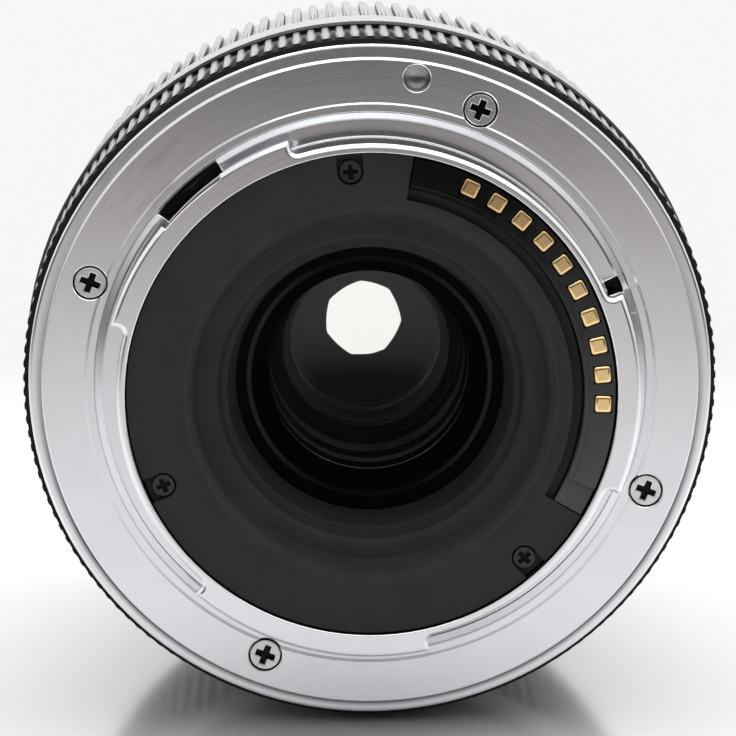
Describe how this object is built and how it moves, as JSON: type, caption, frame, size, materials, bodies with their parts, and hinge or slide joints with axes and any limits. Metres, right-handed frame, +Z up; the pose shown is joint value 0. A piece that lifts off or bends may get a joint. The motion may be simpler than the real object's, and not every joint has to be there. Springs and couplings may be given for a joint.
{
  "type": "prime lens",
  "caption": "Prime lens for a mirrorless camera, with a bayonet mount, a ribbed focus ring, a bladed iris, a motor-driven focus group and glass elements.",
  "frame": {"origin": "centre of the seat of the bayonet flange, on the optical axis", "axes": "+Y along the optical axis towards the front glass, +Z up with the lens on its side, +X to the right seen from the rear"},
  "size_m": [0.0644, 0.0585, 0.0644],
  "materials": {
    "plated_mount": "satin chrome plating, finely turned",
    "screw_steel": "nickel-plated steel",
    "black_screw": "black oxide",
    "shim_steel": "rolled shim",
    "black_anodised": "satin black anodised",
    "frame_plastic": "glass-filled, matte",
    "matte_black": "light-absorbing matte black",
    "block_plastic": "moulded, half gloss",
    "contact_gold": "gold plated",
    "circuit_board": "solder mask",
    "flex_film": "polyimide film",
    "brass": "machined",
    "motor_steel": "plated can",
    "coated_glass": "coated optical glass"
  },
  "bodies": {
    "lens": {"bayonet_mount": "plated_mount", "mount_screws": "screw_steel", "barrel_screws": "screw_steel", "front_barrel_screws": "screw_steel", "board_screws": "screw_steel", "iris_screws": "screw_steel", "guide_rods": "screw_steel", "baffle_screws": "black_screw", "mount_shim": "shim_steel", "rear_barrel": "black_anodised", "front_barrel": "black_anodised", "grip_ring": "black_anodised", "rear_cell": "black_anodised", "rear_retaining_ring": "black_anodised", "rear_spacer": "black_anodised", "front_spacer": "black_anodised", "front_seat_ring": "black_anodised", "front_cell": "black_anodised", "inner_frame": "frame_plastic", "iris_base": "frame_plastic", "iris_cover": "frame_plastic", "ring_bearings": "frame_plastic", "rear_baffle": "matte_black", "trim_ring": "matte_black", "contact_block": "block_plastic", "encoder_sensor": "block_plastic", "board_chips": "block_plastic", "contact_pins": "contact_gold", "main_board": "circuit_board", "contact_flex": "flex_film", "motor_flex": "flex_film", "focus_motor": "motor_steel", "iris_motor": "motor_steel", "rear_element": "coated_glass", "rear_inner_element": "coated_glass", "front_inner_element": "coated_glass", "front_mid_element": "coated_glass", "front_element": "coated_glass"},
    "focus_ring": {"focus_ring": "black_anodised", "encoder_strip": "flex_film"},
    "drive_screw": {"lead_screw": "screw_steel"},
    "focus_group": {"focus_cell": "frame_plastic", "focus_element": "coated_glass", "focus_retaining_ring": "frame_plastic", "focus_nut": "brass"},
    "iris_ring": {"iris_ring": "black_anodised"},
    "iris_pinion": {"iris_pinion": "brass"},
    "blade_1": {"iris_blade_1": "matte_black"},
    "blade_2": {"iris_blade_2": "matte_black"},
    "blade_3": {"iris_blade_3": "matte_black"},
    "blade_4": {"iris_blade_4": "matte_black"},
    "blade_5": {"iris_blade_5": "matte_black"},
    "blade_6": {"iris_blade_6": "matte_black"},
    "blade_7": {"iris_blade_7": "matte_black"}
  },
  "joints": [
    {"name": "focus_ring_turn", "type": "hinge", "parent": "lens", "child": "focus_ring", "pos_m": [0, 0.0275, 0], "axis": [0, -1, 0], "continuous": true},
    {"name": "focus_slide", "type": "slide", "parent": "lens", "child": "focus_group", "axis": [0, 1, 0], "range_m": [0, 0.005]},
    {"name": "lead_screw_turn", "type": "hinge", "parent": "lens", "child": "drive_screw", "pos_m": [0, 0.024, -0.0176], "axis": [0, -1, 0], "range_deg": [0, 1800]},
    {"name": "iris_ring_turn", "type": "hinge", "parent": "lens", "child": "iris_ring", "pos_m": [0, 0.034, 0], "axis": [0, -1, 0], "range_deg": [-19.15, 12.12]},
    {"name": "iris_pinion_turn", "type": "hinge", "parent": "lens", "child": "iris_pinion", "pos_m": [-0.0096, 0.034, -0.01663], "axis": [0, -1, 0], "range_deg": [-85, 134.2]},
    {"name": "blade_1_turn", "type": "hinge", "parent": "lens", "child": "blade_1", "pos_m": [0.01344, 0.033, 0.00667], "axis": [0, -1, 0], "range_deg": [-15.33, 9.71]},
    {"name": "blade_2_turn", "type": "hinge", "parent": "lens", "child": "blade_2", "pos_m": [0.00316, 0.033, 0.01466], "axis": [0, -1, 0], "range_deg": [-15.33, 9.71]},
    {"name": "blade_3_turn", "type": "hinge", "parent": "lens", "child": "blade_3", "pos_m": [-0.00949, 0.033, 0.01161], "axis": [0, -1, 0], "range_deg": [-15.33, 9.71]},
    {"name": "blade_4_turn", "type": "hinge", "parent": "lens", "child": "blade_4", "pos_m": [-0.015, 0.033, -0.00018], "axis": [0, -1, 0], "range_deg": [-15.33, 9.71]},
    {"name": "blade_5_turn", "type": "hinge", "parent": "lens", "child": "blade_5", "pos_m": [-0.00921, 0.033, -0.01184], "axis": [0, -1, 0], "range_deg": [-15.33, 9.71]},
    {"name": "blade_6_turn", "type": "hinge", "parent": "lens", "child": "blade_6", "pos_m": [0.00351, 0.033, -0.01458], "axis": [0, -1, 0], "range_deg": [-15.33, 9.71]},
    {"name": "blade_7_turn", "type": "hinge", "parent": "lens", "child": "blade_7", "pos_m": [0.01359, 0.033, -0.00635], "axis": [0, -1, 0], "range_deg": [-15.33, 9.71]}
  ],
  "couplings": [
    {"joint": "lead_screw_turn", "follows": "focus_slide", "rad_per_m": 6283.2},
    {"joint": "iris_pinion_turn", "follows": "iris_ring_turn", "ratio": -7},
    {"joint": "blade_1_turn", "follows": "iris_ring_turn", "ratio": 0.8},
    {"joint": "blade_2_turn", "follows": "iris_ring_turn", "ratio": 0.8},
    {"joint": "blade_3_turn", "follows": "iris_ring_turn", "ratio": 0.8},
    {"joint": "blade_4_turn", "follows": "iris_ring_turn", "ratio": 0.8},
    {"joint": "blade_5_turn", "follows": "iris_ring_turn", "ratio": 0.8},
    {"joint": "blade_6_turn", "follows": "iris_ring_turn", "ratio": 0.8},
    {"joint": "blade_7_turn", "follows": "iris_ring_turn", "ratio": 0.8}
  ]
}
